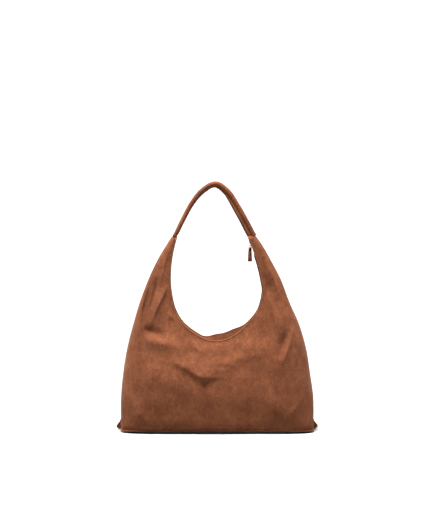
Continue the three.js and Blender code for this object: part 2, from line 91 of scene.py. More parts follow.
LIP_EDGE_INSET = 0.6
LIP_STITCH_INSET = 5.2
# span and thickness of the dark tube of tape edge and painted gap shadow along the front lip
TAPE_AND_GAP_SHADE = dict(first=38, last=190, radius=1.4)
BASE_POINTS = 240
BASE_PANEL = 1.6
BASE_DISH = [(0.0, 0.0), (1.5, 1.6), (4, 3.4), (8, 5.4), (13, 7.2), (20, 9), (54, 9)]  # (inset, drop)
BASE_DISH_DEPTH = 9
WELT_RADIUS = 1.35
SEAM_WELT_RADIUS = 1.3
EAR_ROWS, EAR_COLUMNS = 26, 9
EAR_SPREAD, EAR_DISH, EAR_EDGE = 8.5, 3.4, 1.3
EAR_SHIFT = -1.0
POCKET = dict(half_width=118, low=42, high=121, off_wall=3.6, thick=0.9, sag=2.5)
TOOTH_PITCH = 2.6
TOOTH = [(-0.65, 0.2), (-0.45, 0.0), (0.45, 0.0), (0.65, 0.2), (0.65, 2.5), (-0.65, 2.5)]
TAB_TURN = math.radians(-64)           # the pull tab's turn about the vertical

# Folds of the front panel: each is a walked line of (x, z, height, width left, width right).
# A positive height is a ridge, a negative one a valley.
FRONT_FOLDS = [
    # the long V where the slouching front breaks over the upright lower part
    (1.25, [
        (-108, 168, 0, 34, 9), (-92, 159, 4, 38, 9), (-68, 149, 8.5, 42, 9), (-44, 133, 12, 44, 9),
        (-27, 125, 14, 46, 10), (-9, 138, 12, 44, 11), (12, 153, 9.5, 38, 13), (40, 166, 6.5, 34, 17),
        (92, 176, 5, 30, 22), (148, 190, 0, 26, 20),
    ]),
    # the swelling under the left horn, with a hollow above it
    (1.5, [(-166, 212, 0, 10, 16), (-147, 209, 8, 10, 18), (-122, 203, 9, 13, 22), (-95, 195, 6, 16, 24),
           (-66, 182, 0, 14, 22)]),
    (1.6, [(-166, 234, 0, 12, 10), (-152, 226, -9, 14, 9), (-132, 219, -7, 14, 8), (-110, 214, 0, 12, 8)]),
    # the left side's break, a valley that sets the side strip off from the front
    (1.3, [(-146, 352, 0, 8, 5), (-159, 310, -6, 14, 5), (-165, 276, -9, 18, 5), (-166, 240, -9, 22, 5),
           (-163, 206, -7, 24, 6), (-156, 168, -4, 24, 9), (-149, 128, 0, 20, 12)]),
    (1.4, [(-152, 352, 0, 4, 5), (-170, 300, 3.5, 5, 5), (-177, 260, 4, 6, 6), (-178, 220, 3.5, 8, 7),
           (-174, 180, 0, 9, 8)]),
    # the left horn's long ridge and valley
    (1.4, [(-104, 344, 0, 5, 7), (-118, 314, 5, 5, 8), (-130, 290, 6, 5, 9), (-141, 264, 4, 6, 11),
           (-146, 246, 0, 6, 12)]),
    (1.4, [(-128, 372, 0, 7, 7), (-138, 328, -5, 9, 6), (-147, 288, -7, 9, 6), (-152, 250, 0, 9, 8)]),
    (1.3, [(-106, 412, 0, 4, 6), (-118, 380, 3, 4, 7), (-124, 350, 3, 4, 7), (-128, 322, 0, 4, 8)]),
    # the small crease that starts at the left of the lip
    (1.3, [(-114, 269, 0, 5, 4), (-102, 259, 4, 5, 4), (-90, 255, 4, 5, 4), (-76, 245, 0, 5, 4)]),
    # the right horn's valley and ridge
    (1.4, [(93, 412, 0, 7, 7), (102, 376, -4.5, 8, 7), (109, 330, -5, 9, 7), (117, 296, 0, 10, 8)]),
    (1.3, [(110, 318, 0, 8, 5), (122, 284, 5.5, 10, 5), (130, 256, 7, 12, 5), (137, 224, 5, 12, 6),
           (141, 202, 0, 12, 7)]),
    (1.3, [(108, 398, 0, 6, 5), (120, 364, 3.4, 6, 5), (134, 322, 3.4, 7, 5), (146, 286, 0, 7, 6)]),
    # the fold on the right, over a hollow
    (1.3, [(174, 244, 0, 7, 5), (167, 222, 6, 8, 5), (160, 198, 7, 8, 5), (152, 174, 5, 8, 6),
           (142, 152, 0, 8, 7)]),
    (1.6, [(160, 234, 0, 9, 9), (152, 212, -5, 10, 9), (144, 190, -4, 11, 9), (132, 168, 0, 10, 9)]),
    # the bright swell right of the dip, and the dent beside the V's foot
    (1.8, [(36, 200, 0, 14, 12), (60, 196, 4, 16, 14), (92, 192, 4, 16, 14), (128, 194, 0, 14, 12)]),
    (1.6, [(2, 184, 0, 8, 8), (18, 172, -4.5, 9, 8), (38, 160, 0, 9, 8)]),
    (1.6, [(-24, 166, 0, 10, 7), (-8, 152, -4, 10, 7), (10, 146, 0, 8, 7)]),
    (1.5, [(-74, 214, 0, 8, 8), (-58, 196, 3.5, 9, 8), (-34, 184, 3.5, 10, 8), (-8, 182, 0, 9, 8)]),
    # slack along the bottom
    (1.6, [(-70, 22, 0, 10, 8), (0, 17, 3, 12, 8), (76, 20, 0, 10, 8)]),
    (1.6, [(-190, 84, 0, 12, 10), (-172, 46, 4, 12, 10), (-150, 14, 0, 10, 8)]),
    (1.5, [(190, 92, 0, 10, 8), (174, 56, 4.5, 10, 8), (150, 20, 0, 10, 8)]),
    (1.5, [(110, 96, 0, 14, 12), (136, 60, 2.6, 14, 12), (150, 30, 0, 12, 10)]),
]
# Folds of the back panel, in the same terms; its shape is a guess.
BACK_FOLDS = [
    (1.2, [(-134, 194, 0, 30, 9), (-84, 168, 8, 36, 9), (-20, 144, 12, 38, 9), (34, 138, 12, 38, 10),
           (88, 158, 8, 34, 12), (138, 186, 0, 28, 12)]),
    (1.4, [(-108, 350, 0, 6, 8), (-132, 292, 5, 6, 9), (-148, 250, 5, 8, 11), (-158, 204, 0, 8, 12)]),
    (1.4, [(112, 336, 0, 9, 6), (132, 268, 5.5, 10, 6), (144, 222, 5, 12, 7), (150, 184, 0, 12, 8)]),
    (1.6, [(-154, 250, 0, 10, 9), (-138, 222, -7, 12, 9), (-118, 198, 0, 10, 9)]),
    (1.6, [(60, 214, 0, 10, 9), (86, 196, -5, 12, 9), (114, 184, 0, 10, 9)]),
    (1.6, [(-120, 34, 0, 12, 9), (-20, 24, 3.5, 12, 9), (70, 32, 0, 12, 9)]),
    (1.5, [(-186, 96, 0, 10, 9), (-170, 56, 4, 10, 9), (-148, 24, 0, 10, 9)]),
]


# ---------------- number helpers
def mix(a, b, t):
    """The value a share t of the way from a to b."""
    return a + (b - a) * t


def smooth(t):
    """An eased step from 0 to 1."""
    t = np.clip(t, 0, 1)
    return t * t * (3 - 2 * t)


def curve_of(table):
    """A smooth curve through the rows of a table, as a function of its first column."""
    xs, ys = (np.array(column, float) for column in zip(*table))
    low = np.maximum(np.arange(len(xs)) - 1, 0)
    high = np.minimum(np.arange(len(xs)) + 1, len(xs) - 1)
    slopes = (ys[high] - ys[low]) / (xs[high] - xs[low])

    def at(x):
        x = np.clip(x, xs[0], xs[-1])
        k = np.clip(np.searchsorted(xs, x, side="right") - 1, 0, len(xs) - 2)
        span = xs[k + 1] - xs[k]
        t = (x - xs[k]) / span
        cubic = (2 * t - 3) * t * t + 1
        bend = t * (t - 1) ** 2 * slopes[k] + t * t * (t - 1) * slopes[k + 1]
        return cubic * ys[k] + (1 - cubic) * ys[k + 1] + span * bend

    return at


left_at, right_at, depth_at, boxiness_at, growth_at = map(
    curve_of, (LEFT_SIDE, RIGHT_SIDE, HALF_DEPTH, BOXINESS, RIM_GROWTH))


def spline(knots, steps):
    """Points along a centripetal Catmull-Rom curve through the knots."""
    knots = np.array(knots, float)
    ends = [2 * knots[0] - knots[1], *knots, 2 * knots[-1] - knots[-2]]
    made = []
    for p0, p1, p2, p3 in zip(ends, ends[1:], ends[2:], ends[3:]):
        t0, t1 = 0.0, np.linalg.norm(p1 - p0) ** 0.5
        t2 = t1 + np.linalg.norm(p2 - p1) ** 0.5
        t3 = t2 + np.linalg.norm(p3 - p2) ** 0.5
        t = np.linspace(t1, t2, steps, endpoint=False)[:, None]
        a1 = (t1 - t) / (t1 - t0) * p0 + (t - t0) / (t1 - t0) * p1
        a2 = (t2 - t) / (t2 - t1) * p1 + (t - t1) / (t2 - t1) * p2
        a3 = (t3 - t) / (t3 - t2) * p2 + (t - t2) / (t3 - t2) * p3
        b1 = (t2 - t) / (t2 - t0) * a1 + (t - t0) / (t2 - t0) * a2
        b2 = (t3 - t) / (t3 - t1) * a2 + (t - t1) / (t3 - t1) * a3
        made.append((t2 - t) / (t2 - t1) * b1 + (t - t1) / (t2 - t1) * b2)
    return np.vstack([*made, knots[-1:]])


class Path:
    """A polyline measured by its length."""

    def __init__(self, points):
        self.points = np.array(points, float)
        self.at = np.concatenate([[0], np.cumsum(np.linalg.norm(np.diff(self.points, axis=0), axis=1))])
        self.length = self.at[-1]

    def point(self, s):
        return np.stack([np.interp(s, self.at, column) for column in self.points.T], axis=-1)

    def tangent(self, s, step=0.5):
        d = self.point(np.minimum(s + step, self.length)) - self.point(np.maximum(s - step, 0))
        return d / np.linalg.norm(d, axis=-1, keepdims=True)


# ---------------- the lip
def zip_arc_point(degrees, offset=0.0):
    """A point (x, z) on the arc that the right end of the lip follows."""
    angle = np.radians(degrees)
    radius = ZIP_ARC["radius"] + offset
    return np.stack([ZIP_ARC["x"] + radius * np.cos(angle), ZIP_ARC["z"] + radius * np.sin(angle)], axis=-1)


lip = Path(spline([*zip_arc_point(np.linspace(ZIP_ARC["top"], ZIP_ARC["bottom"], 7)), *LIP], 24))


def lip_point(s, recess=0.0):
    """The point (x, z) at distance s along the lip, moved away from the mouth by recess."""
    t = lip.tangent(s)
    return lip.point(s) + np.stack([-t[..., 1], t[..., 0]], axis=-1) * np.asarray(recess)[..., None]


def half_gap(s):
    """Half the width of the open zip at distance s along the lip."""
    arc = ZIP_ARC["radius"] * math.radians(ZIP_ARC["top"] - ZIP_ARC["bottom"])
    return mix(LIP_HALF_GAP, LIP_HALF_GAPE, smooth((s - arc) / 130) * smooth((lip.length - 60 - s) / 150))


def rim_half(s):
    """Half the bag's depth at the lip."""
    return mix(RIM_TIP, half_gap(s) + RIM_EXTRA, smooth(np.minimum(s, lip.length - s) / RIM_TAPER))


def back_lift(x, d):
    """The back lip stands a little higher than the front one, right of the dip."""
    return 11 * smooth((x + 36) / 40) * smooth((68 - x) / 36) * np.exp(-d / 40)


# ---------------- the skin
def nearest_on_lip(x, z):
    """Distance to the lip, and the place along it, of many points."""
    flat = np.stack([np.ravel(x), np.ravel(z)], axis=1)
    distance, place = np.empty(len(flat)), np.empty(len(flat))
    for first in range(0, len(flat), 4000):
        part = flat[first:first + 4000]
        gap = ((part[:, None, :] - lip.points[None]) ** 2).sum(axis=2)
        k = gap.argmin(axis=1)
        distance[first:first + 4000] = np.sqrt(gap[np.arange(len(part)), k])
        place[first:first + 4000] = lip.at[k]
    return distance.reshape(np.shape(x)), place.reshape(np.shape(x))


def ridge(x, z, sharp, line):
    """Height at (x, z) of a fold along a walked line."""
    line = np.array(line, float)
    best = np.full(np.shape(x), 1e9)
    height = np.zeros(np.shape(x))
    for a, b in zip(line, line[1:]):
        run = b[:2] - a[:2]
        k = np.clip(((x - a[0]) * run[0] + (z - a[1]) * run[1]) / (run @ run), 0, 1)
        away_x, away_z = x - a[0] - k * run[0], z - a[1] - k * run[1]
        gap = np.hypot(away_x, away_z)
        left = run[0] * away_z - run[1] * away_x > 0
        width = np.where(left, mix(a[3], b[3], k), mix(a[4], b[4], k))
        closer = gap < best
        height = np.where(closer, mix(a[2], b[2], k) * np.exp(-((gap / width) ** sharp)), height)
        best = np.minimum(best, gap)
    return height


def slack(x, z, seed):
    """Gentle uneven slack of the hide, a sum of seeded waves."""
    rng = np.random.default_rng(seed)
    total = np.zeros(np.shape(x))
    for wave in rng.uniform(34, 110, 14):
        angle, phase, bend = rng.uniform(0, 2 * math.pi, 3)
        along = (x * math.cos(angle) + z * math.sin(angle)) * 2 * math.pi / wave
        across = (z * math.cos(angle) - x * math.sin(angle)) * 2 * math.pi / (2.3 * wave)
        total += wave / 110 * np.sin(along + phase + 1.3 * np.sin(across + bend))
    return total * 0.34


def bottom_z(x, front):
    """Height of the lower edge of a panel: it bows up a little in the middle."""
    return WALL_BOTTOM + 1.5 + (4.4 if front else 2.5) * (1 - np.clip(np.abs(x) / 205, 0, 1) ** 2)


def surface_depth(front, x, z, inset=0.0):
    """Half depth of the bag's wall over the point (x, z)."""
    d, s = nearest_on_lip(x, z)
    left, right = left_at(z), right_at(z)
    half = (right - left) / 2 - inset
    across = np.clip(np.abs(x - (left + right) / 2) / half, 0, 1)
    edge = (1 - across) * half
    n = boxiness_at(z)
    full = (depth_at(z) - inset) * (1 - across ** n) ** (1 / n)
    q = d / (d + edge + 1e-6)
    rim = (rim_half(s) - inset) * (1 - q ** 4)
    slouch = smooth((x + 118) / 60) * smooth((168 - x) / 60)
    growth = 1 - np.exp(-((d / mix(33, growth_at(z), slouch)) ** 1.3))
    depth = mix(rim, full, growth)
    height = z - bottom_z(x, front)
    mask = smooth(d / 15) * smooth(edge / 16) * smooth(height / 14)
    relief = slack(x, z, 7 if front else 23)
    for sharp, line in (FRONT_FOLDS if front else BACK_FOLDS):
        relief = relief + ridge(x, z, sharp, line)
    depth = depth + relief * mask
    depth = depth - 3.0 * (1 - smooth(height / 11)) * smooth(edge / 10)
    return np.maximum(depth, 1.0)


def outline_point(u, inset, front):
    """The panel's outer end of grid line u: down a side seam, or along the bottom."""
    down = np.where(u < 0.5, u, 1 - u) / SIDE_SHARE
    z = mix(HORN_TOP, WALL_BOTTOM, np.clip(down, 0, 1) ** 1.25)
    x = np.where(u < 0.5, right_at(z) - inset, left_at(z) + inset)
    turn = math.pi * np.clip((u - SIDE_SHARE) / (1 - 2 * SIDE_SHARE), 0, 1)
    left, right = left_at(WALL_BOTTOM), right_at(WALL_BOTTOM)
    across = np.sign(np.cos(turn)) * np.abs(np.cos(turn)) ** (2 / boxiness_at(WALL_BOTTOM))
    low_x = (left + right) / 2 + ((right - left) / 2 - inset) * across
    low = np.abs(u - 0.5) <= 0.5 - SIDE_SHARE
    x = np.where(low, low_x, x)
    return x, np.where(low, bottom_z(x, front), np.maximum(z, bottom_z(x, front)))


def skin(front, u, v, inset=0.0):
    """Points of one layer of a panel, over grids u and v from 0 to 1."""
    s = lip.length * (u - LIP_EASE * np.sin(2 * math.pi * u) / (2 * math.pi))
    start = lip.point(s)
    end_x, end_z = outline_point(u, inset, front)
    sideways = smooth(np.abs(u - 0.5) / (0.5 - SIDE_SHARE))
    t = mix(v, 1 - (1 - v) ** 2, sideways)
    x, z = mix(start[..., 0], end_x, t), mix(start[..., 1], end_z, t)
    depth = surface_depth(front, x, z, inset)
    depth = np.where(v >= 1, np.where(np.abs(u - 0.5) > 0.5 - SIDE_SHARE, 1.0, depth), depth)
    if not front:
        z = z + back_lift(x, nearest_on_lip(x, z)[0])
    return np.stack([x, -depth if front else depth, z], axis=-1)


def surface_point(front, x, z, lifted=0.0):
    """Points on the outer surface over (x, z), and the outward normals there."""
    def at(x, z):
        y = surface_depth(front, x, z)
        up = 0 if front else back_lift(x, nearest_on_lip(x, z)[0])
        return np.stack([x, -y if front else y, z + up], axis=-1)
    here, step = at(x, z), 0.6
    normal = np.cross(at(x + step, z) - here, at(x, z + step) - here)
    normal /= np.linalg.norm(normal, axis=-1, keepdims=True)
    normal *= -np.sign(normal[..., 1:2]) if front else np.sign(normal[..., 1:2])
    return here + normal * lifted, normal


# ---------------- mesh helpers
def to_object(name, points, faces, material, smooth_shade=True, sharp_from=None):
    """A mesh object from points in mm."""
    mesh = bpy.data.meshes.new(name)
    mesh.from_pydata((np.asarray(points, float) * MM).tolist(), [], [list(map(int, f)) for f in faces])
    mesh.polygons.foreach_set("use_smooth", [smooth_shade] * len(mesh.polygons))
    if sharp_from is not None:
        mesh.set_sharp_from_angle(angle=math.radians(sharp_from))
    mesh.materials.append(material)
    made = bpy.data.objects.new(name, mesh)
    bpy.context.scene.collection.objects.link(made)
    return made


def oriented(points, faces):
    """The same faces, turned to face outwards."""
    points, faces = np.asarray(points, float), np.asarray(faces)
    a, b, c = (points[faces[:, k]] for k in range(3))
    volume = np.einsum("ij,ij->i", a, np.cross(b, c)).sum()
    if faces.shape[1] == 4:
        volume += np.einsum("ij,ij->i", a, np.cross(c, points[faces[:, 3]])).sum()
    return faces if volume > 0 else faces[:, ::-1]


def slab(outer, inner):
    """Points and faces of a closed solid between two grids of points."""
    rows, columns = outer.shape[:2]
    index = np.arange(rows * columns).reshape(rows, columns)
    far = index + rows * columns

    def quads(a, b, c, d):
        return np.stack([np.ravel(k) for k in (a, b, c, d)], axis=1)

    faces = [
        quads(index[:-1, :-1], index[:-1, 1:], index[1:, 1:], index[1:, :-1]),
        quads(far[:-1, :-1], far[1:, :-1], far[1:, 1:], far[:-1, 1:]),
        quads(index[:-1, 0], index[1:, 0], far[1:, 0], far[:-1, 0]),
        quads(index[1:, -1], index[:-1, -1], far[:-1, -1], far[1:, -1]),
        quads(index[0, 1:], index[0, :-1], far[0, :-1], far[0, 1:]),
        quads(index[-1, :-1], index[-1, 1:], far[-1, 1:], far[-1, :-1]),
    ]
    points = np.concatenate([outer.reshape(-1, 3), inner.reshape(-1, 3)])
    return points, oriented(points, np.concatenate(faces))


def tube(rings, closed=False):
    """Points and faces of a solid through rings of points; closed makes it a loop."""
    rings = np.asarray(rings, float)
    count, sides = rings.shape[:2]
    index = np.arange(count * sides).reshape(count, sides)
    if closed:
        index = np.vstack([index, index[:1]])
    following = np.roll(index, -1, axis=1)
    quads = np.stack([index[:-1], following[:-1], following[1:], index[1:]], axis=-1).reshape(-1, 4)
    points = rings.reshape(-1, 3)
    faces = oriented(points, quads).tolist()
    if not closed:
        turned = faces[0][0] != quads[0][0]
        caps = [index[0][::-1].tolist(), index[-1].tolist()]
        faces += [cap[::-1] for cap in caps] if turned else caps
    return points, faces


def round_tube(points, radius, sides=8, closed=False, flat=1.0, up=(0, 1, 0)):
    """A tube of round or flattened section along points; `up` is the section's second axis."""
    points = np.asarray(points, float)
    if closed:
        along = np.roll(points, -1, axis=0) - np.roll(points, 1, axis=0)
    else:
        along = np.gradient(points, axis=0)
    along /= np.linalg.norm(along, axis=1, keepdims=True)
    up = np.broadcast_to(np.asarray(up, float), points.shape)
    side = np.cross(along, up)
    side /= np.linalg.norm(side, axis=1, keepdims=True)
    up = np.cross(side, along)
    turn = np.linspace(0, 2 * math.pi, sides, endpoint=False)
    rings = [points + radius * (math.cos(a) * side + flat * math.sin(a) * up) for a in turn]
    return tube(np.stack(rings, axis=1), closed)


def many(shapes):
    """Several (points, faces) shapes as one."""
    points, faces, count = [], [], 0
    for some_points, some_faces in shapes:
        points.append(np.asarray(some_points, float))
        faces += [[k + count for k in face] for face in some_faces]
        count += len(some_points)
    return np.concatenate(points), faces


def stitch_row(path, normals, pitch=3.6, length=2.5, width=0.34, start=0.0):
    """A row of stitches along a path of points in mm that lie on a surface."""
    row = Path(path)
    shapes = []
    turn = np.linspace(0, 2 * math.pi, 6, endpoint=False)
    for s in np.arange(start + length, row.length - length, pitch):
        ts = np.linspace(-0.5, 0.5, 5)
        middle = row.point(s + ts * length)
        k = np.searchsorted(row.at, s)
        normal = normals[min(k, len(normals) - 1)]
        along = middle[-1] - middle[0]
        along /= np.linalg.norm(along)
        side = np.cross(along, normal)
        size = width * np.array([0.35, 0.9, 1, 0.9, 0.35])
        lift = np.array([-0.25, 0.12, 0.22, 0.12, -0.25])
        rings = [
            middle[i] + normal * lift[i]
            + size[i] * (np.cos(turn)[:, None] * side + np.sin(turn)[:, None] * normal)
            for i in range(5)
        ]
        shapes.append(tube(rings))
    return many(shapes)


# ---------------- materials
class Nodes:
    """A small writer of node trees."""

    def __init__(self, name):
        self.material = bpy.data.materials.new(name)
        self.material.use_nodes = True
        self.tree = self.material.node_tree
        self.shader = self.tree.nodes["Principled BSDF"]
        self.place = self.tree.nodes.new("ShaderNodeTexCoord").outputs["Object"]

    def put(self, socket, value):
        if isinstance(value, bpy.types.NodeSocket):
            self.tree.links.new(value, socket)
        else:
            socket.default_value = value

    def node(self, kind, settings=None, **inputs):
        made = self.tree.nodes.new(kind)
        for key, value in (settings or {}).items():
            setattr(made, key, value)
        for key, value in inputs.items():
            self.put(made.inputs[key.replace("_", " ")], value)
        return made

    def noise(self, scale, detail=4.0, roughness=0.55, distortion=0.0, where=None):
        return self.node("ShaderNodeTexNoise", Vector=where or self.place, Scale=scale, Detail=detail,
                         Roughness=roughness, Distortion=distortion).outputs["Fac"]

    def stretched(self, scale, turn=(0.0, 0.0, 0.0)):
        return self.node("ShaderNodeMapping", Vector=self.place, Scale=scale, Rotation=turn).outputs["Vector"]

    def ramp(self, value, stops):
        made = self.node("ShaderNodeValToRGB", Fac=value)
        elements = made.color_ramp.elements
        while len(elements) < len(stops):
            elements.new(0.5)
        for element, (at, colour) in zip(elements, stops):
            element.position = at
            element.color = (*colour, 1) if isinstance(colour, tuple) else (colour, colour, colour, 1)
        return made.outputs["Color"]

    def blend_colours(self, factor, a, b, mode="MIX"):
        made = self.node("ShaderNodeMix", {"data_type": "RGBA", "blend_type": mode})
        for place, value in ((0, factor), (6, a), (7, b)):
            self.put(made.inputs[place], value)
        return made.outputs[2]

    def math(self, operation, a, b=0.5):
        made = self.node("ShaderNodeMath", {"operation": operation})
        for socket, value in zip(made.inputs, (a, b)):
            self.put(socket, value)
        return made.outputs[0]

    def bump(self, height, distance, strength=1.0, normal=None):
        inputs = dict(Height=height, Distance=distance, Strength=strength)
        if normal is not None:
            inputs["Normal"] = normal
        return self.node("ShaderNodeBump", **inputs).outputs["Normal"]

    def link(self, value, socket):
        self.tree.links.new(value, self.shader.inputs[socket])

    def set(self, **values):
        for key, value in values.items():
            self.shader.inputs[key.replace("_", " ")].default_value = value


def suede_material(name, dark, middle, light, nap=1.0):
    """Brushed hide: cloudy nap, fine fibres, a soft sheen and a few scuffs."""
    n = Nodes(name)
    clouds = n.noise(16, 4, 0.55, 0.5)
    brushed = n.noise(95, 5, 0.65, 0.9, n.stretched((1, 1, 0.7), (0, 0.6, 0.2)))
    fibre = n.noise(430, 5, 0.75)
    tone = n.math("ADD", n.math("MULTIPLY", clouds, 0.3), n.math("MULTIPLY", brushed, 0.36))
    tone = n.math("ADD", tone, n.math("MULTIPLY", fibre, 0.34))
    base = n.ramp(tone, [(0.38, dark), (0.5, middle), (0.62, light)])
    pale = tuple(min(1, 1.5 * c + 0.03) for c in light)
    scuffs = n.noise(34, 8, 0.75, 2.5, n.stretched((1, 1, 0.3), (0, -0.7, 0)))
    scuff = n.ramp(scuffs, [(0.62, 0.0), (0.74, 1.0)])
    base = n.blend_colours(n.math("MULTIPLY", scuff, 0.34 * nap), base, (*pale, 1))
    speck = n.ramp(n.noise(900, 2, 0.5), [(0.66, 0.0), (0.76, 1.0)])
    base = n.blend_colours(n.math("MULTIPLY", speck, 0.22), base, (*dark, 1), "MULTIPLY")
    n.link(base, "Base Color")
    n.link(n.ramp(brushed, [(0.3, 0.98), (0.7, 0.86)]), "Roughness")
    soft = n.bump(n.noise(120, 5, 0.6, 0.4), 0.0011, 0.55 * nap)
    n.link(n.bump(n.noise(1500, 3, 0.7), 0.00045, 0.5 * nap, soft), "Normal")
    n.set(Sheen_Weight=0.1, Sheen_Roughness=0.5, Sheen_Tint=(0.95, 0.56, 0.38, 1), Specular_IOR_Level=0.15)
    return n.material


def cloth_material(name, dark, light, threads=1500.0):
    """A plain weave of crossing threads."""
    n = Nodes(name)
    weave = []
    for axis in ("X", "Z"):
        weave.append(n.node("ShaderNodeTexWave", {"wave_type": "BANDS", "bands_direction": axis},
                            Vector=n.place, Scale=threads / 20, Distortion=0.6, Detail=1.0).outputs["Fac"])
    cross = n.math("MULTIPLY", weave[0], weave[1])
    tone = n.math("ADD", n.math("MULTIPLY", cross, 0.6), n.math("MULTIPLY", n.noise(40, 4), 0.4))
    n.link(n.ramp(tone, [(0.15, dark), (0.6, light)]), "Base Color")
    n.link(n.bump(cross, 0.0004, 0.5), "Normal")
    n.set(Roughness=0.92, Sheen_Weight=0.15, Specular_IOR_Level=0.2)
    return n.material


def metal_material(name, colour, tarnish, roughness):
    """Plated metal with faint tarnish."""
    n = Nodes(name)
    spots = n.noise(420, 5, 0.65)
    n.link(n.ramp(spots, [(0.35, tarnish), (0.6, colour)]), "Base Color")
    n.link(n.ramp(n.noise(900, 4), [(0.3, roughness * 0.8), (0.75, roughness * 1.5)]), "Roughness")
    n.link(n.bump(n.noise(1800, 3), 0.00006, 0.4), "Normal")
    n.set(Metallic=1.0)
    return n.material


def plain_material(name, dark, light, patches, grain, roughness, gloss):
    """A dark, dull finish; patches and grain are the scale and detail of its noises."""
    n = Nodes(name)
    n.link(n.ramp(n.noise(*patches), [(0.3, dark), (0.7, light)]), "Base Color")
    n.link(n.bump(n.noise(*grain), 0.0002, 0.5), "Normal")
    n.set(Roughness=roughness, Specular_IOR_Level=gloss)
    return n.material


suede = suede_material("suede", (0.066, 0.0182, 0.0062), (0.099, 0.0293, 0.0106), (0.146, 0.0478, 0.0184))
suede_edge = suede_material(
    "suede_edge", (0.082, 0.024, 0.010), (0.128, 0.041, 0.018), (0.185, 0.064, 0.029), 0.6)
thread = cloth_material("thread", (0.085, 0.028, 0.013), (0.17, 0.062, 0.030), 3000)
lining = cloth_material("lining", (0.20, 0.125, 0.078), (0.36, 0.25, 0.165))
# Near-black cloth: the zip tapes' own colour, and also the painted shadow of the gap outside the front lip.
tape_and_shade_cloth = cloth_material("zip_tape", (0.014, 0.006, 0.004), (0.042, 0.018, 0.011), 2400)
teeth_metal = metal_material("zip_teeth", (0.62, 0.36, 0.22), (0.36, 0.20, 0.12), 0.34)
rose_gold = metal_material("rose_gold", (0.86, 0.52, 0.38), (0.62, 0.34, 0.23), 0.2)
# Dark edge paint: the pull tab's painted edges, and the dark rings at the strap ends, which are partly seam
# and partly painted shadow of the seam's gap.
edge_paint_and_seam_shade = plain_material(
    "edge_paint_and_seam_shade", (0.030, 0.014, 0.010), (0.060, 0.026, 0.016), (300, 3), (700, 3), 0.65, 0.3)
board = plain_material(
    "base_board", (0.03, 0.025, 0.02), (0.07, 0.055, 0.045), (80, 6), (600, 4), 0.8, 0.5)


def carried(node, material):
    """Gives a CAD node that stays in view its finish."""
    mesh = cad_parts[node].data
    mesh.materials.clear()
    mesh.materials.append(material)


# ---------------- the body of the bag
def uv_grid(rows, columns, v0=0.0, v1=1.0, u0=0.0, u1=1.0):
    """Grids of u along the lip and v away from it."""
    return np.meshgrid(np.linspace(u0, u1, rows + 1), np.linspace(v0, v1, columns + 1), indexing="ij")


def make_walls():
    """The front and back panels, their lip facings and their linings."""
    for word, front in (("front", True), ("back", False)):
        u, v = uv_grid(PANEL_ROWS, PANEL_COLUMNS)
        outer = skin(front, u, v)
        inner = skin(front, u, v, SUEDE)
        panel = to_object(f"{word}_suede", *slab(outer, inner), suede, sharp_from=50)
        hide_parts(f"{word}_panel")
        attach(panel, "bag")

        u, v = uv_grid(200, 16, 0.0, FACING_END, 0.02, 0.98)
        facing = to_object(
            f"{word}_facing", *slab(skin(front, u, v, FACING_INSET), skin(front, u, v, FACING_INNER)),
            suede_edge, sharp_from=50)
        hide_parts(f"{word}_lip_facing")
        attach(facing, "bag")

        u, v = uv_grid(200, 60, FACING_END + 0.006, 0.995, 0.02, 0.98)
        inside = to_object(
            f"{word}_inside", *slab(skin(front, u, v, LINING_INSET), skin(front, u, v, LINING_INNER)),
            lining, sharp_from=50)
        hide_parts(f"{word}_lining")
        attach(inside, "bag")


def make_lip_edges():
    """The turned edge of each lip, and the row of stitches under it."""
    for word, front in (("front", True), ("back", False)):
        s = np.linspace(2.0, lip.length - 2.0, 520)
        flat = lip_point(s, LIP_EDGE_INSET)
        points, normals = surface_point(front, flat[:, 0], flat[:, 1])
        points[:, 1] += 0.9 if front else -0.9
        edge = to_object(f"{word}_lip_edge", *round_tube(points, LIP_EDGE_RADIUS, 10, flat=1.15), suede_edge)
        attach(edge, "bag")
        low = lip_point(np.linspace(8, lip.length - 8, 700), LIP_STITCH_INSET)
        points, normals = surface_point(front, low[:, 0], low[:, 1])
        seam = to_object(f"{word}_lip_stitching", *stitch_row(points, normals), thread)
        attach(seam, "bag")
    # A dark tube outside the front lip on the zip's open end: the zip tape's edge, and painted shadow that
    # stands for the shaded gap between the two lips.
    s = np.linspace(TAPE_AND_GAP_SHADE["first"], TAPE_AND_GAP_SHADE["last"], 120)
    flat = lip_point(s, -1.8 + 2.9 * (smooth((s - 160) / 30) + smooth((50 - s) / 12)))
    points = np.column_stack([flat[:, 0], 2.2 - rim_half(s), flat[:, 1]])
    edge = to_object("front_tape_and_gap_shade", *round_tube(points, TAPE_AND_GAP_SHADE["radius"], 8), tape_and_shade_cloth)
    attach(edge, "bag")


def base_outline(turn, inset=0.0):
    """Points (x, y) round the base at angles turn."""
    left, right = left_at(WALL_BOTTOM), right_at(WALL_BOTTOM)
    power = 2 / boxiness_at(WALL_BOTTOM)

    def rounded(value):
        return np.sign(value) * np.abs(value) ** power

    x = (left + right) / 2 + ((right - left) / 2 - inset) * rounded(np.cos(turn))
    y = (depth_at(WALL_BOTTOM) - 3.0 - inset) * rounded(np.sin(turn))
    return x, y


def base_edge_height(x, y):
    """Height of the bottom's edge, shared between the front and the back edge at the sides."""
    front, back = bottom_z(x, True), bottom_z(x, False)
    return mix((front + back) / 2, np.where(y < 0, front, back), smooth(np.abs(y) / 20))


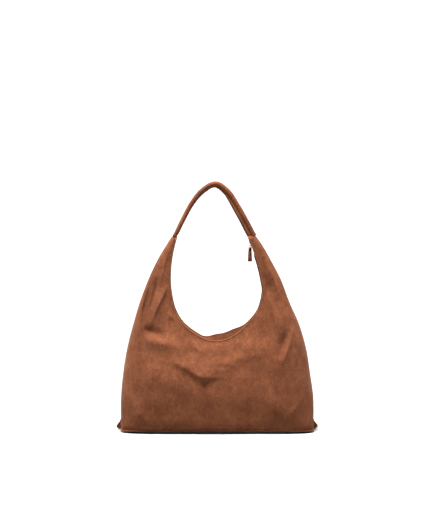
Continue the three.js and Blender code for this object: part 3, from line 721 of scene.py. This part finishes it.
def make_base():
    """The bottom panel, dished down to the floor, the welt round it and the stiffener inside."""
    turn = np.linspace(0, 2 * math.pi, BASE_POINTS + 1)
    outer, inner = [], []
    for inset, drop in BASE_DISH:
        x, y = base_outline(turn, inset)
        z = np.maximum(base_edge_height(x, y) * (1 - smooth(drop / BASE_DISH_DEPTH)), 0.0)
        outer.append(np.stack([x, y, z], axis=-1))
        x, y = base_outline(turn, inset + 1.4)
        inner.append(np.stack([x, y, z + BASE_PANEL], axis=-1))
    outer, inner = np.array(outer)[:, :-1], np.array(inner)[:, :-1]
    middle_x = outer[-1].mean(axis=0)[0]
    rings = np.concatenate([outer, [np.tile([middle_x, 0, 0.0], (BASE_POINTS, 1))]])
    top = np.concatenate([inner, [np.tile([middle_x, 0, BASE_PANEL], (BASE_POINTS, 1))]])
    shape = tube(np.concatenate([rings, top[::-1]]), closed=True)
    floor_panel = to_object("bottom_suede", *shape, suede, sharp_from=60)
    weld(floor_panel, 0.05)
    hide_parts("bottom_panel")
    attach(floor_panel, "bag")

    x, y = base_outline(np.linspace(0, 2 * math.pi, 320, endpoint=False), -0.5)
    line = np.stack([x, y, base_edge_height(x, y) - 0.4], axis=-1)
    welt = to_object("bottom_welt", *round_tube(line, WELT_RADIUS, 10, True, up=(0, 0, 1)), suede_edge)
    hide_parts("bottom_piping")
    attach(welt, "bag")
    carried("base_board", board)
    carried("bottom_lining", lining)


def weld(made, distance):
    """Merges points closer than distance in mm."""
    work = bmesh.new()
    work.from_mesh(made.data)
    bmesh.ops.remove_doubles(work, verts=work.verts, dist=distance * MM)
    work.to_mesh(made.data)
    work.free()


def make_ears():
    """The two turned-out corners of the boxed bottom: a folded wing with a hollow face."""
    for word, side, tip, top in (("right", 1, (226.5, 9.0), 27.0), ("left", -1, (227.3, 7.6), 30.0)):
        t = np.linspace(0, 1, EAR_ROWS)
        # The wing's rim runs from the seam above, out to the tip and back under to the base.
        knots = [(216.2, top), (219.4, mix(top, tip[1], 0.45)), tip, (tip[0] - 4.5, 3.0), (215.0, 2.2)]
        rim = Path(spline(knots, 12))
        rim = rim.point(np.linspace(0, rim.length, EAR_ROWS))
        root = np.stack([np.full(EAR_ROWS, 214.5), mix(top - 1, 5.0, t)], axis=-1)
        w = np.linspace(0, 1, EAR_COLUMNS)
        x = mix(root[:, None, 0], rim[:, None, 0], w[None])
        z = mix(root[:, None, 1], rim[:, None, 1], w[None])
        belly = np.sin(math.pi * t)[:, None]
        spread = EAR_SPREAD * belly * (1 - w[None]) ** 1.3 + EAR_EDGE
        dish = EAR_DISH * belly * np.sin(math.pi * w[None])
        front = np.stack([side * x, -spread + dish + EAR_SHIFT, z], axis=-1)
        back = np.stack([side * x, spread - dish + EAR_SHIFT, z], axis=-1)
        ear = to_object(f"{word}_ear", *slab(front, back), suede, sharp_from=60)
        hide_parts(f"{word}_corner_ear")
        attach(ear, "bag")
        rim_line = np.stack([side * rim[:, 0], np.full(EAR_ROWS, EAR_SHIFT), rim[:, 1]], axis=-1)
        bead = to_object(f"{word}_ear_edge", *round_tube(rim_line, 1.5, 8), suede_edge)
        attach(bead, "bag")


def make_side_seams():
    """The raised welt down each side, where the panels are sewn together."""
    for word, side_at, out in (("right", right_at, 1), ("left", left_at, -1)):
        z = np.linspace(24, HORN_TOP - 2, 240)
        points = np.stack([side_at(z) - out * 0.4, 0 * z, z], axis=-1)
        shape = round_tube(points, SEAM_WELT_RADIUS, 10, flat=0.95)
        welt = to_object(f"{word}_seam_welt", *shape, suede_edge)
        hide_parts(f"{word}_side_seam")
        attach(welt, "bag")


def make_pocket():
    """The flat pocket sewn to the back lining, with its turned hem."""
    half = POCKET["half_width"]
    x, z = np.meshgrid(
        np.linspace(-half, half, 81), np.linspace(POCKET["low"], POCKET["high"], 41), indexing="ij")
    lip_sag = POCKET["sag"] * np.sin(math.pi * (x + half) / (2 * half)) * smooth((z - 92) / 28)
    y = surface_depth(False, x, z) - POCKET["off_wall"] - lip_sag
    outer = np.stack([x, y, z], axis=-1)
    inner = np.stack([x, y - POCKET["thick"], z], axis=-1)
    pocket = to_object("slip_pocket", *slab(outer, inner), lining, sharp_from=50)
    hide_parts("inner_slip_pocket")
    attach(pocket, "bag")


# ---------------- the zip
def lip_bar(s, recess, y0, y1, thickness):
    """A flat bar along the lip from y0 to y1."""
    grids = []
    for depth in (0.0, thickness):
        flat = lip_point(s, np.full_like(s, recess + depth))
        grids.append(np.stack([
            np.stack([flat[:, 0], mix(y0, y1, w), flat[:, 1]], axis=-1) for w in (0.0, 0.5, 1.0)
        ], axis=1))
    return slab(*grids)


def make_hem_band():
    """The strip that joins the back lip, which stands higher, to the zip tape under it."""
    s = np.linspace(130, lip.length - 60, 260)
    high, low = lip_point(s, 0.9), lip_point(s, 4.0)
    grids = []
    for depth in (0.0, 0.7):
        top_z = high[:, 1] + back_lift(high[:, 0], 0.0) - depth
        top = np.column_stack([high[:, 0], rim_half(s) - 2.6 + depth, top_z])
        foot = np.column_stack([low[:, 0], half_gap(s) + 2.5 + depth, low[:, 1] - depth])
        grids.append(np.stack([mix(top, foot, w) for w in np.linspace(0, 1, 7)], axis=1))
    band = to_object("back_hem_band", *slab(*grids), suede, sharp_from=50)
    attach(band, "bag")


def make_zip():
    """The two tapes and their separate teeth, and the finish of the stops."""
    for word, sign in (("front", -1), ("back", 1)):
        s = np.linspace(14, lip.length - 14, 300)
        gap = half_gap(s)
        outer = gap + RIM_EXTRA - SUEDE - 2.4
        tape = to_object(
            f"{word}_tape", *lip_bar(s, ZIP_RECESS + 0.75, sign * (gap + 0.6), sign * outer, 0.7),
            tape_and_shade_cloth, sharp_from=40)
        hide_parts(f"{word}_zip_tape")
        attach(tape, "bag")
        shapes = []
        shift = 0 if sign < 0 else TOOTH_PITCH / 2
        for at in np.arange(8 + shift, lip.length - 8, TOOTH_PITCH):
            point, tangent = lip_point(at, ZIP_RECESS), lip.tangent(at)
            inward = np.array([-tangent[1], tangent[0]])
            gap = half_gap(at)
            rings = []
            for deep, grow in ((0.0, 0.82), (0.25, 1), (1.95, 1), (2.2, 0.82)):
                ring = []
                for along, away in TOOTH:
                    flat = point + tangent * along * grow + inward * deep
                    ring.append((flat[0], sign * (gap + away), flat[1]))
                rings.append(ring)
            shapes.append(tube(rings))
        teeth = to_object(f"{word}_teeth", *many(shapes), teeth_metal, sharp_from=35)
        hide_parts(f"{word}_zip_coil")
        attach(teeth, "bag")
    carried("left_zip_stop", rose_gold)
    carried("right_zip_stop", rose_gold)


def plate_shape(outline, low, high, chamfer=0.25):
    """A flat plate with softened edges: outline in its plane, low to high across it."""
    outline = np.array(outline, float)
    middle = outline.mean(axis=0)
    rings = []
    for height, shrink in ((low, chamfer), (low + chamfer, 0), (high - chamfer, 0), (high, chamfer)):
        away = outline - middle
        size = np.linalg.norm(away, axis=1, keepdims=True)
        flat = middle + away * (1 - shrink / size)
        rings.append(np.column_stack([flat, np.full(len(flat), height)]))
    return tube(rings)


def make_slider():
    """The slider's two plates, its post and the bail that carries the pull."""
    angle = ZIP_ARC["top"] - math.degrees(SLIDER_START / ZIP_ARC["radius"])
    recess = ZIP_RECESS + COIL_HEIGHT / 2
    centre = zip_arc_point(angle, recess)
    out = -np.array([math.cos(math.radians(angle)), math.sin(math.radians(angle))])
    down = np.array([-out[1], out[0]])

    def placed(points):
        """From (along the lip, across, out of the mouth) to the bag's own axes."""
        points = np.asarray(points, float)
        flat = centre + points[:, :1] * down + points[:, 2:] * out
        return np.column_stack([flat[:, 0], points[:, 1], flat[:, 1]])

    waist = [(-6, 4.4), (-5.2, 5.4), (-2, 5.7), (2, 5.2), (5.4, 4.0), (6, 3.2)]
    outline = [*waist, *[(x, -y) for x, y in waist[::-1]]]
    shapes = [plate_shape(outline, 1.45, 2.5), plate_shape(outline, -2.5, -1.45),
              plate_shape([(-5.6, 1.2), (-1.5, 0.7), (-1.5, -0.7), (-5.6, -1.2)], -1.5, 1.5, 0.1)]
    for side in (-1, 1):
        flange = [(-5.2, side * 5.0), (-5.2, side * 5.6), (5.0, side * 4.3), (5.0, side * 3.7)]
        shapes.append(plate_shape(flange, 0.75, 1.5, 0.08))
        shapes.append(plate_shape(flange, -1.5, -0.75, 0.08))
    points, faces = many(shapes)
    body = to_object("slider_body", placed(points), faces, rose_gold, sharp_from=35)
    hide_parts("zip_slider_body")
    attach(body, "slider")
    turn = np.linspace(0, math.pi, 25)
    arch = np.column_stack([-1.5 + 3.8 * np.cos(turn), 0 * turn, 2.5 + 4.1 * np.sin(turn) ** 0.8])
    points, faces = round_tube(arch, 0.72, 10, flat=1.25)
    bail = to_object("slider_bail", placed(points), faces, rose_gold)
    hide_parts("zip_slider_bail")
    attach(bail, "slider")


# ---------------- the pull
def make_pull():
    """The collar and the leather tab of the pull, and the finish of its ring."""
    carried("pull_ring", rose_gold)
    low, high = (np.array(corner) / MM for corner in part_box("pull_tab"))
    middle = (low + high) / 2
    length = high[2] - low[2]
    turned = np.array([
        [math.cos(TAB_TURN), math.sin(TAB_TURN)], [-math.sin(TAB_TURN), math.cos(TAB_TURN)],
    ])

    def hung(points):
        """From (across the tab's face, down its length, through it) to the bag's own axes."""
        points = np.asarray(points, float)
        flat = np.column_stack([points[:, 2], points[:, 0]]) @ turned
        return np.column_stack([middle[0] + flat[:, 0], middle[1] + flat[:, 1], high[2] - points[:, 1]])

    # The collar turns with the tab; its eye stays square to the ring.
    top = np.array(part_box("pull_ferrule")[1]) / MM
    turn = np.linspace(0, 2 * math.pi, 24, endpoint=False)
    eye = np.column_stack([
        middle[0] + 2.5 * np.cos(turn), middle[1] + 0 * turn, top[2] - 3.2 + 2.5 * np.sin(turn),
    ])
    reach = top[2] - high[2] - 5.4
    collar = plate_shape([(-3.3, -reach), (3.3, -reach), (3.6, 1.6), (-3.6, 1.6)], -2.2, 2.2, 0.4)
    shapes = [(hung(collar[0]), collar[1]), round_tube(eye, 0.62, 8, True)]
    ferrule = to_object("pull_collar", *many(shapes), rose_gold, sharp_from=45)
    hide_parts("pull_ferrule")
    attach(ferrule, "tab")

    corner = np.linspace(0, math.pi / 2, 7)
    half_top, half_low, round_low = 3.4, 4.9, 1.8
    right = [(half_top, 0.2)] + [
        (half_low - round_low + round_low * math.cos(a), length - round_low + round_low * math.sin(a))
        for a in corner
    ]
    outline = np.array(right + [(-x, y) for x, y in right[::-1]])
    for name, low_side, high_side, material, grow in (
        ("pull_tab_core", -0.75, 0.75, edge_paint_and_seam_shade, 1.0),
        ("pull_tab_front", 0.7, 1.75, suede, 0.985), ("pull_tab_back", -1.75, -0.7, suede, 0.985),
    ):
        scaled = (outline - outline.mean(axis=0)) * grow + outline.mean(axis=0)
        points, faces = plate_shape(scaled, low_side, high_side, 0.3)
        piece = to_object(name, hung(points), faces, material, sharp_from=50)
        if name == "pull_tab_core":
            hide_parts("pull_tab")
        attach(piece, "tab")
    inner = (outline - outline.mean(axis=0)) * np.array([0.68, 0.92]) + outline.mean(axis=0)
    ring = np.vstack([inner, inner[:1]])
    path = Path(ring).point(np.linspace(0, Path(ring).length, 160))
    rows = []
    for side in (-1, 1):
        points = hung(np.column_stack([path, np.full(len(path), side * 1.75)]))
        face = hung(np.array([[0, 0, side * 1.0], [0, 0, 0]]))
        normal = face[0] - face[1]
        rows.append(stitch_row(points, np.tile(normal / np.linalg.norm(normal), (len(points), 1)),
                               2.6, 1.8, 0.24))
    seam = to_object("pull_tab_stitching", *many(rows), thread)
    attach(seam, "tab")


# ---------------- the strap
STRAP_LINE = [
    (-98.5, 431), (-96, 439), (-91, 447.5), (-78.3, 473.6), (-56, 514), (-33, 541), (-5, 555.5),
    (20, 540), (42, 506), (62, 470), (73.6, 447.5), (78.5, 439), (81.5, 431),
]
STRAP_BROAD = [(0, 9.3), (0.06, 9.4), (0.3, 9.2), (0.5, 8.3), (0.72, 9.4), (0.94, 10), (1, 10)]
STRAP_THIN = [(0, 5.6), (0.3, 5.8), (0.5, 5.7), (0.8, 5.3), (1, 4.7)]


def strap_rings(path, ss, inset=0.0, sides=56):
    """Sections of the strap: a flattened tube that turns from edge-on to face-on."""
    first, last = path.length * 0.024, path.length * 0.976
    turn = np.linspace(0, 2 * math.pi, sides, endpoint=False)
    broad_at, thin_at = curve_of(STRAP_BROAD), curve_of(STRAP_THIN)
    rings = []
    for s in ss:
        t = np.clip((s - first) / (last - first), 0, 1)
        point, tangent = path.point(s), path.tangent(s, 2.0)
        out = np.array([-tangent[1], tangent[0]])
        angle = mix(math.radians(86), math.radians(4), smooth((t - 0.2) / 0.62))
        ends = min(s, path.length - s)
        pinch = smooth(ends / 26)
        broad = broad_at(t) * mix(0.78 if t < 0.5 else 0.98, 1, pinch) - inset
        thin = thin_at(t) * mix(0.78, 1, pinch) - inset
        if ends < 7.5:
            broad, thin = broad - 2.4, max(thin - 2.8, 0.8)
        crumple = math.exp(-(((t - 0.49) / 0.035) ** 2))
        p = broad * np.sign(np.cos(turn)) * np.abs(np.cos(turn)) ** 0.86
        q = thin * np.sign(np.sin(turn)) * np.abs(np.sin(turn)) ** 0.86
        groove = np.exp(-(((p + 0.1 * broad) / (0.24 * broad)) ** 2)) * mix(0.4, 1, pinch)
        q = q - np.sign(q) * np.where(q < 0, 2.6, 1.2) * groove * np.clip(np.abs(q) / 2, 0, 1)
        p = p * (1 - 0.1 * crumple)
        x = p * math.cos(angle) + q * math.sin(angle)
        y = -p * math.sin(angle) + q * math.cos(angle)
        x = x + crumple * 1.5 * np.exp(-((x + 6) / 3) ** 2) * np.cos(turn * 3)
        wobble = 0.35 * math.sin(s * 0.16) + 0.25 * math.sin(s * 0.37 + 1)
        x = x * (1 + 0.02 * wobble)
        rings.append(np.column_stack([point[0] + out[0] * x, y, point[1] + out[1] * x]))
    return np.array(rings)


def make_strap():
    """The whole strap, blended from the bag at its sewn ends, and a dark ring at each end: the seam, and
    painted shadow of the gap at it.
    """
    path = Path(spline(STRAP_LINE, 30))
    ss = np.unique(np.concatenate([
        np.linspace(0, 7.4, 6), np.linspace(7.6, 30, 26), np.linspace(30, path.length - 30, 190),
        np.linspace(path.length - 30, path.length - 7.6, 26), np.linspace(path.length - 7.4, path.length, 6),
    ]))
    strap = to_object("strap", *tube(strap_rings(path, ss)), suede, sharp_from=55)
    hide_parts("strap_skin", "strap_core", "left_strap_end", "right_strap_end")
    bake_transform(strap)
    # A dark ring near each end: the seam there, and painted shadow of its gap.
    for word, s in (("left", 9.5), ("right", path.length - 9.5)):
        ring = strap_rings(path, [s], -0.1)[0]
        shape = round_tube(ring, 0.75, 8, True, up=(0, 0, 1))
        seam_shade_ring = to_object(f"{word}_strap_seam_and_shade", *shape, edge_paint_and_seam_shade)
        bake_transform(seam_shade_ring)


# ---------------- floor, light and camera
def make_stage():
    """A white studio sweep, one soft key from above and two weak fills."""
    bend = np.linspace(0, math.pi / 2, 13)
    curved = [(3 + 1.5 * math.sin(a), 1.5 - 1.5 * math.cos(a)) for a in bend[1:]]
    profile = [(-8, 0), (3, 0), *curved, (4.5, 7)]
    points = [(x, y, z) for y, z in profile for x in (-9, 9)]
    faces = [(2 * k, 2 * k + 1, 2 * k + 3, 2 * k + 2) for k in range(len(profile) - 1)]
    mesh = bpy.data.meshes.new("sweep")
    mesh.from_pydata(points, [], faces)
    mesh.polygons.foreach_set("use_smooth", [True] * len(faces))
    sweep = bpy.data.objects.new("sweep", mesh)
    bpy.context.scene.collection.objects.link(sweep)
    n = Nodes("sweep")
    white = n.ramp(n.noise(3, 2), [(0.3, (0.33, 0.33, 0.33)), (0.7, (0.35, 0.35, 0.35))])
    depth = n.node("ShaderNodeSeparateXYZ", Vector=n.place).outputs["Y"]
    glow = n.ramp(n.math("MULTIPLY", n.math("SUBTRACT", depth, 0.35), 0.5), [(0.0, 0.0), (1.0, 1.0)])
    n.link(white, "Base Color")
    n.set(Roughness=0.9, Specular_IOR_Level=0.0, Emission_Color=(1, 1, 1, 1))
    n.link(glow, "Emission Strength")
    mesh.materials.append(n.material)

    world = bpy.data.worlds.new("studio")
    world.use_nodes = True
    world.node_tree.nodes["Background"].inputs["Color"].default_value = (1, 1, 1, 1)
    world.node_tree.nodes["Background"].inputs["Strength"].default_value = 0.16
    bpy.context.scene.world = world
    for name, place, target, size, power in (
        ("key", (-0.1, -0.5, 2.5), (0, 0, 0.2), 0.8, 262),
        ("left", (-2.3, -0.1, 1.3), (0, 0, 0.3), 0.9, 44),
        ("right", (2.3, -0.1, 1.3), (0, 0, 0.3), 0.9, 20),
    ):
        light = bpy.data.objects.new(name, bpy.data.lights.new(name, "AREA"))
        light.data.size = size
        light.data.energy = power
        light.location = place
        light.rotation_euler = (Vector(target) - Vector(place)).to_track_quat("-Z", "Y").to_euler()
        bpy.context.scene.collection.objects.link(light)
    bpy.context.scene.view_settings.view_transform = "Standard"


VIEW_HEIGHT = 1.161  # metres of the bag's plane that the picture's height takes in
CAMERA_DISTANCE = 3.2
CAMERA_RISE = math.radians(4)


def make_camera():
    """A long lens in front of the bag and a little above its middle."""
    aim = Vector((-0.0052, 0, 0.39))
    camera = bpy.data.objects.new("camera", bpy.data.cameras.new("camera"))
    away = Vector((0, -math.cos(CAMERA_RISE), math.sin(CAMERA_RISE))) * CAMERA_DISTANCE
    camera.location = aim + away
    camera.rotation_euler = (-away).to_track_quat("-Z", "Y").to_euler()
    camera.data.sensor_width = 36
    camera.data.sensor_height = 36
    camera.data.lens = 36 * CAMERA_DISTANCE / VIEW_HEIGHT
    bpy.context.scene.collection.objects.link(camera)
    bpy.context.scene.camera = camera


make_camera()
make_walls()
make_lip_edges()
make_base()
make_ears()
make_side_seams()
make_pocket()
make_hem_band()
make_zip()
make_slider()
make_pull()
make_strap()
make_stage()
